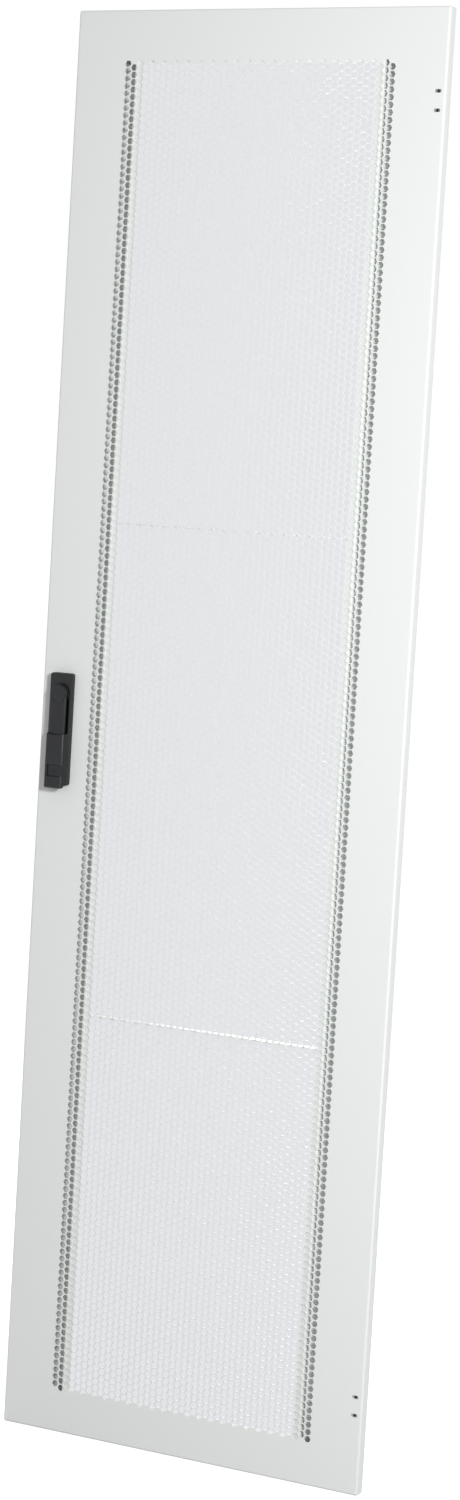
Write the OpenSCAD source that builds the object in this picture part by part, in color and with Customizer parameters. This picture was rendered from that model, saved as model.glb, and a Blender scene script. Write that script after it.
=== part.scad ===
// Perforated door for a free-standing equipment rack, hung on its right-hand edge.
// A single folded steel sheet carries a field of hexagonal openings. Hat-section stiles and
// rails are welded behind the edges of the field, two bars tie the stiles together, and a
// swing handle with a key lock sits at mid height on the free edge.
//
// Frame: origin at the middle of the lower hinge bore, +Z up, front of the door towards -Y,
// hinge side towards +X.

/* [Door] */
// Width of the door
door_w = 600; // [500:1:800]
// Height of the door
door_h = 2130; // [1600:1:2300]
// Depth of the folded edges, front face to rear lip
door_d = 20; // [19:0.5:30]
// Thickness of the door sheet
sheet_t = 1.5; // [1:0.1:2]
// Outside radius of the bends
bend_r = 3; // [2.5:0.1:4]
// Width of the lip folded inwards at the rear
lip_w = 12; // [6:0.5:16]
// Slit left between two lips where they meet in a corner
lip_slit = 1.2; // [0.5:0.1:3]

/* [Perforation] */
// Plain border on the lock side
border_lock = 81.6; // [75:0.1:110]
// Plain border on the hinge side
border_hinge = 79; // [65:0.1:110]
// Plain border at the top
border_top = 72.4; // [60:0.1:120]
// Plain border at the bottom
border_bottom = 63; // [60:0.1:120]
// Hexagon opening measured across its flats
hole_across = 40.3; // [30:0.1:41]
// Spacing of the openings up a column
hole_pitch = 46.9; // [45:0.1:90]
// Spacing of one column from the next
column_pitch = 43.6; // [43:0.1:80]

/* [Stiffeners] */
// Thickness of the stiffener sheet
stiff_t = 1.5; // [1:0.1:2]
// Width of the raised crown of a stile or rail
crown_w = 30; // [20:0.5:40]
// Width of each welding lip beside the crown
weld_lip = 10; // [6:0.5:14]
// Depth of a stile or rail from the back of the door sheet
stiff_d = 15; // [8:0.5:15]
// How far a stile reaches past the edge of the perforation
stile_reach = 29; // [10:0.5:40]
// How far a rail reaches past the edge of the perforation
rail_reach = 4; // [0:0.5:40]
// Distance of the stile ends from the top and bottom of the door
stile_end = 14; // [13:0.5:30]
// Outside radius of the stiffener bends
stiff_bend = 3; // [2.5:0.1:5]
// Thickness of the tie bars
bar_t = 2; // [1:0.1:4]
// Height of the tabs bent down at the ends of the tie bars
bar_tab = 18; // [8:0.5:40]
// Upper tie bar, measured down from the top of the door
bar_upper = 752; // [400:1:1000]
// Lower tie bar, measured down from the top of the door
bar_lower = 1491; // [1100:1:1560]

/* [Hinges] */
// Hinge axis, measured in from the hinge edge of the door
hinge_inset = 12; // [11:0.5:16]
// Hinge axis, measured back from the front face
hinge_back = 11; // [10.8:0.1:12]
// Middle of each hinge, measured from the nearer end of the door
hinge_end = 131; // [100:1:250]
// Bore for the hinge pin of the rack
hinge_bore_d = 8.2; // [6:0.1:8.4]
// Outside diameter of the hinge bush
bush_d = 12; // [11:0.1:13]
// Diameter of the flange of the bush
bush_flange_d = 15; // [14:0.1:16]
// Thickness of the flange of the bush
bush_flange_t = 1.5; // [1:0.1:3]
// Height of the hinge bracket
bracket_h = 52; // [46:0.5:80]
// Width of the hinge bracket
bracket_w = 20; // [18:0.5:26]
// Thickness of the hinge bracket
bracket_t = 3; // [2:0.1:4]
// Rim of a bracket ear outside the flange of the bush
ear_edge = 1; // [0.5:0.1:1.2]
// Height of the opening in the rear lip behind each hinge
hinge_window = 90; // [80:1:120]
// Spacing of the two adjusting slots of a hinge
slot_pitch = 27; // [20:0.5:32]
// Length of an adjusting slot
slot_len = 10.3; // [8:0.1:12]
// Width of an adjusting slot
slot_w = 5.3; // [4:0.1:6]
// Tapping hole in the bracket behind each slot
tapping_d = 4.2; // [3:0.1:5]

/* [Earth stud] */
// Thread diameter of the earth stud
stud_d = 6; // [5:0.5:8]
// Length of the earth stud
stud_len = 12; // [10:0.5:14]
// Diameter of the welded foot of the stud
stud_foot_d = 9; // [8.5:0.5:14]
// Thickness of the welded foot of the stud
stud_foot_t = 1; // [0.5:0.1:2]
// Width of the nut across its flats
nut_across = 10; // [9.5:0.5:13]
// Thickness of the nut
nut_t = 5; // [3:0.5:6]
// Distance of the nut from the door sheet
nut_off = 3; // [2:0.5:5]
// Height of the stud above the bottom edge
stud_up = 40; // [30:1:100]

/* [Handle housing] */
// Centre line of the handle, measured in from the free edge
handle_in = 37.5; // [34:0.5:44]
// Height of the middle of the handle above the middle of the door
handle_up = 2.2; // [0:0.1:5]
// Height of the handle housing
housing_h = 168.6; // [166:0.2:180]
// Width of the housing at the door
housing_w = 35.6; // [34.5:0.1:38]
// Width of the housing at its front face
face_w = 28.6; // [28.4:0.1:31]
// How far the deck under the lever stands proud
deck = 12.5; // [12:0.1:14]
// How far the lock block stands proud
block = 22; // [21.8:0.1:24]
// Height of the upright part of the housing's sides
foot_t = 10.5; // [8:0.1:11.3]
// Corner radius of the foot of the housing
foot_r = 4; // [2:0.1:6]
// Rounding of the top and bottom edges of the housing
edge_r = 3; // [2:0.1:4]
// How far the end of the lock block hangs below the foot of the housing
end_drop = 4.2; // [2:0.1:6]
// Thickness of the overhanging end of the lock block
end_t = 7; // [6.5:0.1:9]
// Corner radius of the overhanging end
end_r = 4; // [2:0.1:6]
// Thickness of the seal under the housing
seal_t = 1; // [0.5:0.1:2]
// Wall left round the seal at the rim of the housing
seal_inset = 0.5; // [0.2:0.1:1]
// Height of the floor under the spindle flange
recess_floor = 5; // [4.5:0.1:5.2]
// Height of the floor of the trough behind the lever
trough_floor = 5; // [4.8:0.1:6]
// Wall between the trough and the sides of the housing
rim_t = 1.3; // [1:0.1:4]
// Corner radius of the trough
trough_r = 5; // [2:0.1:8]

/* [Lever] */
// Pivot of the lever, measured down from the top of the housing
pivot_in = 30.9; // [28:0.1:32]
// Diameter of the round head of the lever
lever_head_d = 28; // [26:0.1:28.4]
// Depth of the front of the lever below the front of the lock block
lever_in = 3.5; // [3.2:0.1:3.8]
// Width of the shank of the lever
lever_w = 26.6; // [18:0.1:27.4]
// End of the lever, measured down from the middle of the housing
lever_down = 8.1; // [4:0.1:10]
// Chamfer round the front of the lever and the lock block
chamfer = 1; // [0.4:0.1:1.5]
// Width of the hollow in the underside of the lever
hollow_w = 18; // [10:0.5:20]
// Length of the hollow in the underside of the lever
hollow_h = 36; // [20:0.5:38]
// Depth of the hollow in the underside of the lever
hollow_deep = 3.4; // [2:0.1:4]
// Corner radius of the hollow
hollow_r = 3; // [1:0.1:4.5]
// Ring groove round the head
ring_d = 26; // [24:0.1:26.2]
// Width of the ring groove
ring_w = 1; // [0.4:0.1:1.2]
// Depth of the ring groove
ring_deep = 0.8; // [0.3:0.1:1]
// Diameter of the cross pin that the lever lifts on
cross_pin_d = 2.5; // [2:0.1:2.8]
// Height of the cross pin above the pivot axis
cross_pin_up = 6; // [5.5:0.1:6.5]
// Distance of the cross pin from the front of the lever
cross_pin_in = 3.3; // [3.1:0.1:3.5]
// Length of the cross pin
cross_pin_len = 21.6; // [18:0.1:22]
// Wall of the lever at the blind end of the cross pin
cross_pin_wall = 2; // [1:0.1:2.4]
// Width of the eye that carries the cross pin
eye_w = 8; // [6:0.1:10]
// Radius of the eye round the cross pin
eye_r = 2.1; // [1.9:0.1:2.3]

/* [Spindle and cam] */
// Diameter of the spindle flange under the lever
flange_d = 24; // [20:0.1:25]
// Thickness of the spindle flange
flange_t = 2; // [1.5:0.1:2.2]
// Diameter of the spindle shaft
shaft_d = 13; // [10:0.1:15]
// Wall of the collar of the housing round the shaft
collar_wall = 3; // [2:0.1:4]
// Square at the rear end of the spindle
square_w = 8; // [6:0.1:9]
// Gap between the rear lip of the door and the cam
cam_gap = 2; // [1:0.1:6]
// Thickness of the cam
cam_t = 3; // [2:0.1:5]
// Width of the cam
cam_w = 18; // [14:0.5:22]
// Reach of the cam from the spindle axis
cam_reach = 48; // [30:1:60]
// Thread diameter of the cam screw
cam_screw_d = 5; // [4:0.5:5]
// Depth of the cam screw in the spindle
cam_screw_deep = 9; // [6:0.5:12]
// Diameter of the cam washer
cam_washer_d = 16; // [12.5:0.5:18]
// Thickness of the cam washer
cam_washer_t = 1.2; // [0.8:0.1:2]

/* [Key lock] */
// Lock cylinder, measured up from the bottom of the housing
lock_in = 22.1; // [20:0.1:29]
// Diameter of the lock cylinder
cylinder_d = 16; // [14:0.1:17]
// Diameter of the rotating plug
plug_d = 11; // [9:0.1:12]
// Depth of the lock cylinder below the front of the block
cylinder_in = 5.5; // [5.3:0.1:6.4]
// Distance of the rear end of the cylinder from the front face of the door
cylinder_back = 11; // [9:0.5:13]
// Width of the key slot
key_w = 1.6; // [1:0.1:2]
// Height of the key slot
key_h = 7; // [5:0.1:7.5]
// Depth of the key slot
key_deep = 18; // [8:0.5:20]
// Length of the locking finger, from the plug axis
finger_len = 14; // [10:0.5:18]
// Thickness of the locking finger
finger_t = 2.5; // [1.5:0.1:3]
// Width of the locking finger
finger_w = 7.4; // [6:0.1:9]
// Diameter of the tail of the plug that carries the finger
tail_d = 5.5; // [4:0.1:6]
// Height of the window in front of the cylinder
window_h = 18; // [17:0.1:20]
// Width of the window in front of the cylinder
window_w = 22; // [18:0.1:23]
// Radius of the curved lower edge of the window
window_curve = 75; // [40:1:90]
// Depth of the band that crosses the lock block at the window
band_deep = 1.2; // [0.8:0.1:1.5]
// Thickness of the sliding shutter
shutter_t = 2; // [1.5:0.1:2.4]
// Depth of the shutter below the front of the block
shutter_in = 2.6; // [2.4:0.1:2.9]
// How far the shutter runs past the window on each side
shutter_lap = 1; // [0.6:0.1:1.2]
// Travel of the shutter
shutter_travel = 18; // [17:0.1:19]
// Spacing of the grip grooves of the shutter
grip_pitch = 2.4; // [2:0.1:3]
// Width of a grip groove
grip_w = 1; // [0.6:0.1:1.4]
// Length of a grip groove
grip_len = 12; // [8:0.5:18]
// Depth of a grip groove
grip_deep = 0.5; // [0.3:0.1:0.8]

/* [Fixings] */
// Height of each fixing screw above and below the middle of the housing
fixing_up = 24; // [20:0.5:28]
// Diameter of the screw bosses behind the housing
boss_d = 9; // [8:0.1:11]
// Thread diameter of the fixing screws
fixing_d = 5; // [4:0.5:6]
// Depth of the fixing screws in the housing
fixing_deep = 5; // [4:0.1:5.2]
// Diameter of the screw heads
fixing_head_d = 9.5; // [9:0.1:12]
// Height of the screw heads
fixing_head_t = 3.2; // [2:0.1:4]
// Thickness of the rear clamp plate
plate_t = 2; // [1.5:0.1:3]
// Width of the rear clamp plate
plate_w = 26; // [24:0.5:30]
// Margin of the clamp plate beyond the collar and the lock cylinder
plate_edge = 3; // [2:0.5:6]

/* [Clearances] */
// Gap between parts that move past each other
run_gap = 0.3; // [0.3:0.05:0.35]
// Radial gap of a shaft in its bore
bore_gap = 0.05; // [0.03:0.01:0.08]
// Gap round parts that drop into a hole
drop_gap = 0.5; // [0.3:0.1:1]

/* [Hidden] */
$fn = 48;
eps = 0.01;
paint = [0.84, 0.86, 0.85];
black = [0.11, 0.11, 0.12];
zinc = [0.72, 0.73, 0.74];
steel = [0.62, 0.63, 0.65];
nylon = [0.93, 0.93, 0.9];
brass = [0.76, 0.65, 0.38];

// Places in door coordinates: x from the free edge, y back from the front face, z up from
// the bottom edge.
hinge_x = door_w - hinge_inset;
hinge_z = [hinge_end, door_h - hinge_end];
sheet_back = sheet_t;
inner_r = bend_r - sheet_t;

// Perforation
hole_point = hole_across / cos(30);
field_w = door_w - border_lock - border_hinge;
field_h = door_h - border_top - border_bottom;
field_x = border_lock + field_w / 2;
field_z = border_bottom + field_h / 2;
hole_columns = floor((field_w - hole_point) / column_pitch) + 1;
hole_rows = floor((field_h - hole_across - hole_pitch / 2) / hole_pitch) + 1;

// Stiffeners
hat_half = crown_w / 2 + weld_lip;
stile_left_x = border_lock + stile_reach - hat_half;
stile_right_x = door_w - border_hinge - stile_reach + hat_half;
rail_bottom_z = border_bottom + rail_reach - hat_half;
rail_top_z = door_h - border_top - rail_reach + hat_half;
stile_len = door_h - 2 * stile_end;
rail_left_end = stile_left_x + hat_half;
rail_len = stile_right_x - hat_half - rail_left_end;
bar_front = sheet_back + stiff_t;
bar_d = stiff_d - stiff_t;
bar_left_end = stile_left_x + crown_w / 2;
bar_len = stile_right_x - crown_w / 2 - bar_left_end;

// Hinges
ear_r = bush_flange_d / 2 + ear_edge;
bracket_right = hinge_inset - bend_r - drop_gap;
bush_len = bracket_h + bush_flange_t;

// Handle housing, in handle coordinates: origin on the front face of the door, on the
// centre line of the handle and midway between its fixing screws
handle_z = door_h / 2 + handle_up;
housing_top = housing_h / 2;
pivot_up = housing_top - pivot_in;
lock_down = housing_top - lock_in;
draft = (housing_w - face_w) / 2 / (block - foot_t - seal_t);
deck_half = face_w / 2 + draft * (block - deck);
lever_sweep = pivot_up + lever_down;
head_recess_d = lever_head_d + 2 * run_gap;
flange_front = recess_floor + run_gap + flange_t;
collar_d = shaft_d + 2 * collar_wall;
lever_back = deck + run_gap;
lever_front = block - lever_in;
lever_t = lever_front - lever_back;
pin_y = cross_pin_in - lever_front;
pin_z = pivot_up + cross_pin_up;

// Key lock
window_top = -lock_down + window_h / 2;
shutter_front = block - shutter_in;
shutter_h = window_h + 2 * shutter_lap;
shutter_w = window_w + 2 * shutter_lap;
cylinder_front = block - cylinder_in;
finger_y = cylinder_back + run_gap;

// Hexagon socket of a screw: across flats as a share of the thread, depth as a share of the head
socket_share = 0.8;
socket_deep = 0.6;

// Cam and clamp plate
cam_y = door_d + cam_gap;
plate_back = sheet_back + plate_t;
plate_top = pivot_up + collar_d / 2 + plate_edge;
plate_bottom = lock_down + cylinder_d / 2 + plate_edge;

// ---- helpers ----

// Moves door coordinates into the frame of the part
module in_door() translate([-hinge_x, -hinge_back, -hinge_end]) children();

// Moves handle coordinates into the frame of the part
module in_handle() in_door() translate([handle_in, 0, handle_z]) children();

// Rectangle with one corner at the origin and all four corners rounded
module rounded_rect(w, h, r) {
    translate([r, 0]) square([w - 2 * r, h]);
    translate([0, r]) square([w, h - 2 * r]);
    for (x = [r, w - r], y = [r, h - r])
        translate([x, y]) circle(r);
}

// The same rectangle, centred
module centred_rect(w, h, r) translate([-w / 2, -h / 2]) rounded_rect(w, h, r);

// Slot with round ends along x, centred
module obround(len, w) {
    square([len - w, w], center = true);
    for (x = [-1, 1])
        translate([x * (len - w) / 2, 0]) circle(w / 2);
}

// Raises a flat shape, drawn in x and z, from y = back forwards to y = front
module plate(front, back) translate([0, back, 0]) rotate([90, 0, 0])
    linear_extrude(back - front) children();

// Round bar along y between two depths
module rod(d, front, back) plate(front, back) circle(d / 2);

// Hexagonal bar along y with its flats on top and at the bottom
module hex_rod(across, front, back) plate(front, back)
    circle(across / 2 / cos(30), $fn = 6);

// ---- door ----

// Closed box with every long edge rounded, as a sheet folded on all four sides leaves it
module folded_box(w, d, h, r) intersection() {
    linear_extrude(h) rounded_rect(w, d, r);
    translate([w, 0, 0]) rotate([0, -90, 0]) linear_extrude(w) rounded_rect(h, d, r);
}

// Staggered hexagons of the perforated field, drawn flat
module hex_field() translate([field_x, field_z])
    for (i = [0:hole_columns - 1], j = [0:hole_rows - 1])
        translate([
            (i - (hole_columns - 1) / 2) * column_pitch,
            (j - (hole_rows - 1) / 2) * hole_pitch + (i % 2 == 0 ? 1 : -1) * hole_pitch / 4
        ]) circle(hole_point / 2, $fn = 6);

// Openings in the front for the handle, drawn flat
module handle_holes() translate([handle_in, handle_z]) {
    translate([0, pivot_up]) circle(collar_d / 2 + drop_gap);
    translate([0, -lock_down]) circle(cylinder_d / 2 + drop_gap);
    for (z = [-fixing_up, fixing_up])
        translate([0, z]) circle(boss_d / 2 + drop_gap);
}

// Adjusting slots of both hinges, drawn flat
module hinge_slots() for (z = hinge_z, side = [-1, 1])
    translate([hinge_x, z + side * slot_pitch / 2]) obround(slot_len, slot_w);

// Opening inside the rear lips, with the corner slits and the windows behind the hinges
module rear_opening() {
    translate([lip_w, lip_w]) square([door_w - 2 * lip_w, door_h - 2 * lip_w]);
    for (x = [lip_w, door_w - lip_w], z = [lip_w, door_h - lip_w])
        translate([x, z])
            rotate(45 * (x == lip_w ? 1 : -1) * (z == lip_w ? 1 : -1))
                square([2 * (lip_w - bend_r), lip_slit], center = true);
    for (z = hinge_z)
        translate([door_w - lip_w - eps, z - hinge_window / 2])
            square([lip_w + eps - bend_r, hinge_window]);
}

module door_skin() color(paint) in_door() difference() {
    folded_box(door_w, door_d, door_h, bend_r);
    translate([sheet_t, sheet_t, sheet_t])
        folded_box(door_w - 2 * sheet_t, door_d - 2 * sheet_t, door_h - 2 * sheet_t, inner_r);
    plate(door_d - bend_r, door_d + eps) rear_opening();
    plate(-eps, sheet_t + eps) {
        hex_field();
        handle_holes();
        hinge_slots();
    }
}

// ---- stiffeners ----

// Hat section, x across and y back from the sheet it is welded to
module hat_profile() difference() {
    union() {
        translate([-crown_w / 2, -stiff_bend])
            rounded_rect(crown_w, stiff_d + stiff_bend, stiff_bend);
        translate([-hat_half, 0]) square([2 * hat_half, stiff_t]);
    }
    translate([stiff_t - crown_w / 2, -stiff_bend])
        rounded_rect(crown_w - 2 * stiff_t, stiff_d + stiff_bend - stiff_t, stiff_bend - stiff_t);
    translate([-crown_w, -stiff_bend - eps]) square([2 * crown_w, stiff_bend + eps]);
}

module stile(x) color(paint) in_door()
    translate([x, sheet_back, stile_end]) linear_extrude(stile_len) hat_profile();

module rail(z) color(paint) in_door()
    translate([rail_left_end, sheet_back, z]) rotate([90, 0, 90])
        linear_extrude(rail_len) rotate(90) mirror([0, 1]) hat_profile();

module stile_left() stile(stile_left_x);
module stile_right() stile(stile_right_x);
module rail_top() rail(rail_top_z);
module rail_bottom() rail(rail_bottom_z);

// Flat bar on edge between the stiles, with a tab bent down along each of them
module cross_bar(from_top) color(paint) in_door()
    translate([bar_left_end, bar_front, door_h - from_top]) {
        cube([bar_len, bar_d, bar_t]);
        for (x = [0, bar_len - bar_t])
            translate([x, 0, -bar_tab]) cube([bar_t, bar_d, bar_tab + bar_t / 2]);
    }

module cross_bar_upper() cross_bar(bar_upper);
module cross_bar_lower() cross_bar(bar_lower);

// ---- hinges ----

// Moves hinge coordinates, centred on the hinge axis, to the lower or the upper hinge
module at_hinge(which) in_door() translate([hinge_x, hinge_back, hinge_z[which]]) children();

// Ear of the hinge bracket, drawn in x and y round the hinge axis
module ear_profile() difference() {
    union() {
        circle(ear_r);
        translate([-ear_r, sheet_back - hinge_back])
            square([ear_r + bracket_right, hinge_back - sheet_back]);
    }
    circle(bush_d / 2 + bore_gap);
}

// Bracket welded behind the front: a plate with two ears folded back from it
module hinge_bracket(which) color(zinc) at_hinge(which) {
    difference() {
        translate([bracket_right - bracket_w, sheet_back - hinge_back, -bracket_h / 2])
            cube([bracket_w, bracket_t, bracket_h]);
        for (side = [-1, 1])
            translate([0, 0, side * slot_pitch / 2])
                rod(tapping_d, sheet_back - hinge_back - eps, sheet_back - hinge_back + bracket_t + eps);
    }
    for (z = [-bracket_h / 2, bracket_h / 2 - bracket_t])
        translate([0, 0, z]) linear_extrude(bracket_t) ear_profile();
}

module hinge_bush(which) color(nylon) at_hinge(which) translate([0, 0, -bracket_h / 2])
    difference() {
        union() {
            cylinder(bush_len, r = bush_d / 2);
            translate([0, 0, bracket_h]) cylinder(bush_flange_t, r = bush_flange_d / 2);
        }
        translate([0, 0, -eps]) cylinder(bush_len + 2 * eps, r = hinge_bore_d / 2);
    }

module hinge_bracket_top() hinge_bracket(1);
module hinge_bracket_bottom() hinge_bracket(0);
module hinge_bush_top() hinge_bush(1);
module hinge_bush_bottom() hinge_bush(0);

// ---- earth stud ----

module at_stud() in_door() translate([(hinge_x + stile_right_x + hat_half) / 2, sheet_back, stud_up])
    children();

module earth_stud() color(steel) at_stud() {
    rod(stud_foot_d, 0, stud_foot_t);
    rod(stud_d, stud_foot_t, stud_len);
}

module earth_nut() color(steel) at_stud() difference() {
    hex_rod(nut_across, nut_off, nut_off + nut_t);
    rod(stud_d + 2 * bore_gap, nut_off - eps, nut_off + nut_t + eps);
}

// ---- handle housing ----

// Section of the housing across its length: straight foot, drafted sides, chamfered face
module housing_section() polygon([
    [-housing_w / 2, -seal_t], [housing_w / 2, -seal_t],
    [housing_w / 2, -seal_t - foot_t],
    [face_w / 2 + draft * chamfer, chamfer - block],
    [face_w / 2 - chamfer, -block], [chamfer - face_w / 2, -block],
    [-face_w / 2 - draft * chamfer, chamfer - block],
    [-housing_w / 2, -seal_t - foot_t]
]);

// Side view of the housing, z along x and y kept: low deck above, proud block below
module housing_side() {
    translate([-housing_top, -block]) rounded_rect(housing_top, block, edge_r);
    translate([-housing_top, -block / 2]) square([housing_top, block / 2]);
    translate([-edge_r, -deck]) rounded_rect(housing_top + edge_r, deck, edge_r);
    translate([0, -deck / 2]) square([housing_top, deck / 2]);
}

// Front end of the lock block, which hangs over the foot of the housing
module housing_end() intersection() {
    translate([0, 0, -housing_top - end_drop]) linear_extrude(2 * end_drop) housing_section();
    translate([housing_w / 2, 0, 0]) rotate([0, -90, 0]) linear_extrude(housing_w)
        translate([-housing_top - end_drop, -block]) rounded_rect(3 * end_drop, end_t, edge_r);
    plate(-block, end_t - block)
        translate([-(face_w + draft * end_t) / 2, -housing_top - end_drop])
            rounded_rect(face_w + draft * end_t, 3 * end_drop, end_r);
}

module housing_body() intersection() {
    translate([0, 0, -housing_top]) linear_extrude(housing_h) housing_section();
    translate([housing_w / 2, 0, 0]) rotate([0, -90, 0])
        linear_extrude(housing_w) housing_side();
    plate(-block, -seal_t) centred_rect(housing_w, housing_h, foot_r);
}

// Trough that the fingers reach into, drawn flat
module trough() translate([rim_t - deck_half, -lever_down])
    rounded_rect(2 * (deck_half - rim_t), pivot_up + lever_down - trough_r, trough_r);

// Window in front of the lock cylinder with a curved lower edge, drawn flat
module lock_window(width) intersection() {
    translate([-width / 2, window_top - window_h]) square([width, window_h]);
    translate([0, window_top - window_h + window_curve]) circle(window_curve);
}

// Space that the shutter slides in, with its travel
module shutter_slot() translate([
    -shutter_w / 2 - run_gap, -shutter_front - run_gap, window_top - window_h - shutter_lap - run_gap
]) cube([
    shutter_w + 2 * run_gap, shutter_t + 2 * run_gap, shutter_h + shutter_travel + 2 * run_gap
]);

module handle_housing() color(black) in_handle() difference() {
    union() {
        housing_body();
        housing_end();
        translate([0, 0, pivot_up]) rod(collar_d, -seal_t - eps, sheet_back);
        for (z = [-fixing_up, fixing_up])
            translate([0, 0, z]) rod(boss_d, -seal_t - eps, sheet_back);
    }
    // the deck is cut down by the sweep of the lever
    translate([0, 0, pivot_up]) {
        rod(2 * (lever_sweep + run_gap), -block - eps, -deck);
        rod(head_recess_d, -deck - eps, -recess_floor);
        rod(shaft_d + 2 * bore_gap, -block, sheet_back + eps);
    }
    plate(-deck - eps, -trough_floor) trough();
    plate(-block - eps, -shutter_front) lock_window(window_w);
    plate(-block - eps, band_deep - block) lock_window(housing_w);
    shutter_slot();
    translate([0, 0, -lock_down]) rod(cylinder_d + 2 * bore_gap, -shutter_front, eps);
    for (z = [-fixing_up, fixing_up])
        translate([0, 0, z])
            rod(fixing_d + 2 * bore_gap, sheet_back - fixing_deep - run_gap, sheet_back + eps);
}

module handle_seal() color([0.05, 0.05, 0.05]) in_handle() plate(-seal_t, 0) difference() {
    centred_rect(housing_w - 2 * seal_inset, housing_h - 2 * seal_inset, foot_r - seal_inset);
    translate([0, pivot_up]) circle(collar_d / 2 + drop_gap);
    translate([0, -lock_down]) circle(cylinder_d / 2 + drop_gap);
    for (z = [-fixing_up, fixing_up])
        translate([0, z]) circle(boss_d / 2 + drop_gap);
}

// ---- spindle, lever and cam ----

module spindle() color(zinc) in_handle() translate([0, 0, pivot_up]) difference() {
    union() {
        rod(flange_d, -flange_front, -flange_front + flange_t);
        rod(shaft_d, -flange_front, cam_y);
        translate([-square_w / 2, cam_y - eps, -square_w / 2])
            cube([square_w, cam_t + eps, square_w]);
        // eye for the cross pin
        translate([-eye_w / 2, pin_y, cross_pin_up - eye_r])
            cube([eye_w, -pin_y - flange_front + eps, 2 * eye_r]);
        translate([-eye_w / 2, pin_y, cross_pin_up]) rotate([0, 90, 0]) cylinder(eye_w, r = eye_r);
    }
    translate([-eye_w, pin_y, cross_pin_up]) rotate([0, 90, 0])
        cylinder(2 * eye_w, r = cross_pin_d / 2 + bore_gap);
    rod(cam_screw_d + 2 * bore_gap, cam_y + cam_t - cam_screw_deep - run_gap, cam_y + cam_t + eps);
}

// Shank of the lever, cut across its length, with chamfered front edges
module shank_section() polygon([
    [-lever_w / 2, -lever_back], [lever_w / 2, -lever_back],
    [lever_w / 2, chamfer - lever_front], [lever_w / 2 - chamfer, -lever_front],
    [chamfer - lever_w / 2, -lever_front], [-lever_w / 2, chamfer - lever_front]
]);

module lever() color(black) in_handle() difference() {
    union() {
        intersection() {
            translate([0, 0, -lever_down]) linear_extrude(lever_sweep) shank_section();
            translate([0, 0, pivot_up]) rod(2 * lever_sweep, -lever_front, -lever_back);
        }
        translate([0, -lever_front, pivot_up]) rotate([-90, 0, 0]) {
            cylinder(chamfer, r1 = lever_head_d / 2 - chamfer, r2 = lever_head_d / 2);
            translate([0, 0, chamfer]) cylinder(lever_t - chamfer, r = lever_head_d / 2);
        }
    }
    // ring groove
    translate([0, 0, pivot_up]) plate(-lever_front - eps, ring_deep - lever_front) difference() {
        circle(ring_d / 2 + ring_w / 2);
        circle(ring_d / 2 - ring_w / 2);
    }
    // slot for the eye, long enough for the lever to lift
    translate([
        -eye_w / 2 - run_gap, pin_y - eye_r - run_gap, pin_z - eye_r - run_gap
    ]) cube([eye_w + 2 * run_gap, lever_t, 3 * eye_r + run_gap]);
    translate([cross_pin_wall - lever_w / 2, pin_y, pin_z]) rotate([0, 90, 0])
        cylinder(lever_w, r = cross_pin_d / 2 + bore_gap);
    // hollow in the underside
    plate(-lever_back - hollow_deep, -lever_back + eps) translate([-hollow_w / 2, 0])
        rounded_rect(hollow_w, hollow_h, hollow_r);
}

module lever_pin() color(steel) in_handle()
    translate([cross_pin_wall - lever_w / 2 + run_gap, pin_y, pin_z])
        rotate([0, 90, 0]) cylinder(cross_pin_len, r = cross_pin_d / 2);

module cam() color(zinc) in_handle() translate([0, 0, pivot_up]) plate(cam_y, cam_y + cam_t)
    difference() {
        union() {
            circle(cam_w / 2);
            translate([cam_w / 2 - cam_reach, -cam_w / 2]) square([cam_reach - cam_w / 2, cam_w]);
            translate([cam_w / 2 - cam_reach, 0]) circle(cam_w / 2);
        }
        square(square_w + 2 * bore_gap, center = true);
    }

module cam_washer() color(steel) in_handle() translate([0, 0, pivot_up]) difference() {
    rod(cam_washer_d, cam_y + cam_t, cam_y + cam_t + cam_washer_t);
    rod(cam_screw_d + 2 * bore_gap, cam_y + cam_t - eps, cam_y + cam_t + cam_washer_t + eps);
}

// Cap screw along y: head behind y = 0 at the back, shank to the front, hexagon socket
module cap_screw(d, head_d, head_t, len) difference() {
    union() {
        rod(head_d, 0, head_t);
        rod(d, -len, eps);
    }
    hex_rod(d * socket_share, head_t * (1 - socket_deep), head_t + eps);
}

module cam_screw() color(steel) in_handle() translate([0, cam_y + cam_t + cam_washer_t, pivot_up])
    cap_screw(cam_screw_d, fixing_head_d, fixing_head_t, cam_screw_deep + cam_washer_t);

// ---- key lock ----

module lock_shutter() color(black) in_handle()
    translate([-shutter_w / 2, -shutter_front, window_top - window_h - shutter_lap]) difference() {
        cube([shutter_w, shutter_t, shutter_h]);
        // grip grooves across the shutter
        for (i = [0:2])
            translate([(shutter_w - grip_len) / 2, -eps, (shutter_h - grip_w) / 2 + (i - 1) * grip_pitch])
                cube([grip_len, grip_deep + eps, grip_w]);
    }

module lock_cylinder() color(brass) in_handle() translate([0, 0, -lock_down]) difference() {
    rod(cylinder_d, -cylinder_front, cylinder_back);
    rod(plug_d + 2 * bore_gap, -cylinder_front - eps, cylinder_back + eps);
}

module lock_plug() color(brass) in_handle() translate([0, 0, -lock_down]) difference() {
    union() {
        rod(plug_d, -cylinder_front, finger_y);
        rod(tail_d, finger_y - eps, finger_y + finger_t);
    }
    translate([-key_w / 2, -cylinder_front - eps, -key_h / 2]) cube([key_w, key_deep, key_h]);
}

module lock_finger() color(zinc) in_handle() translate([0, 0, -lock_down])
    plate(finger_y, finger_y + finger_t) difference() {
        union() {
            circle(plug_d / 2);
            translate([-finger_w / 2, finger_w / 2 - finger_len])
                square([finger_w, finger_len - finger_w / 2]);
            translate([0, finger_w / 2 - finger_len]) circle(finger_w / 2);
        }
        circle(tail_d / 2 + bore_gap);
    }

// ---- rear fixings ----

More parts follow.
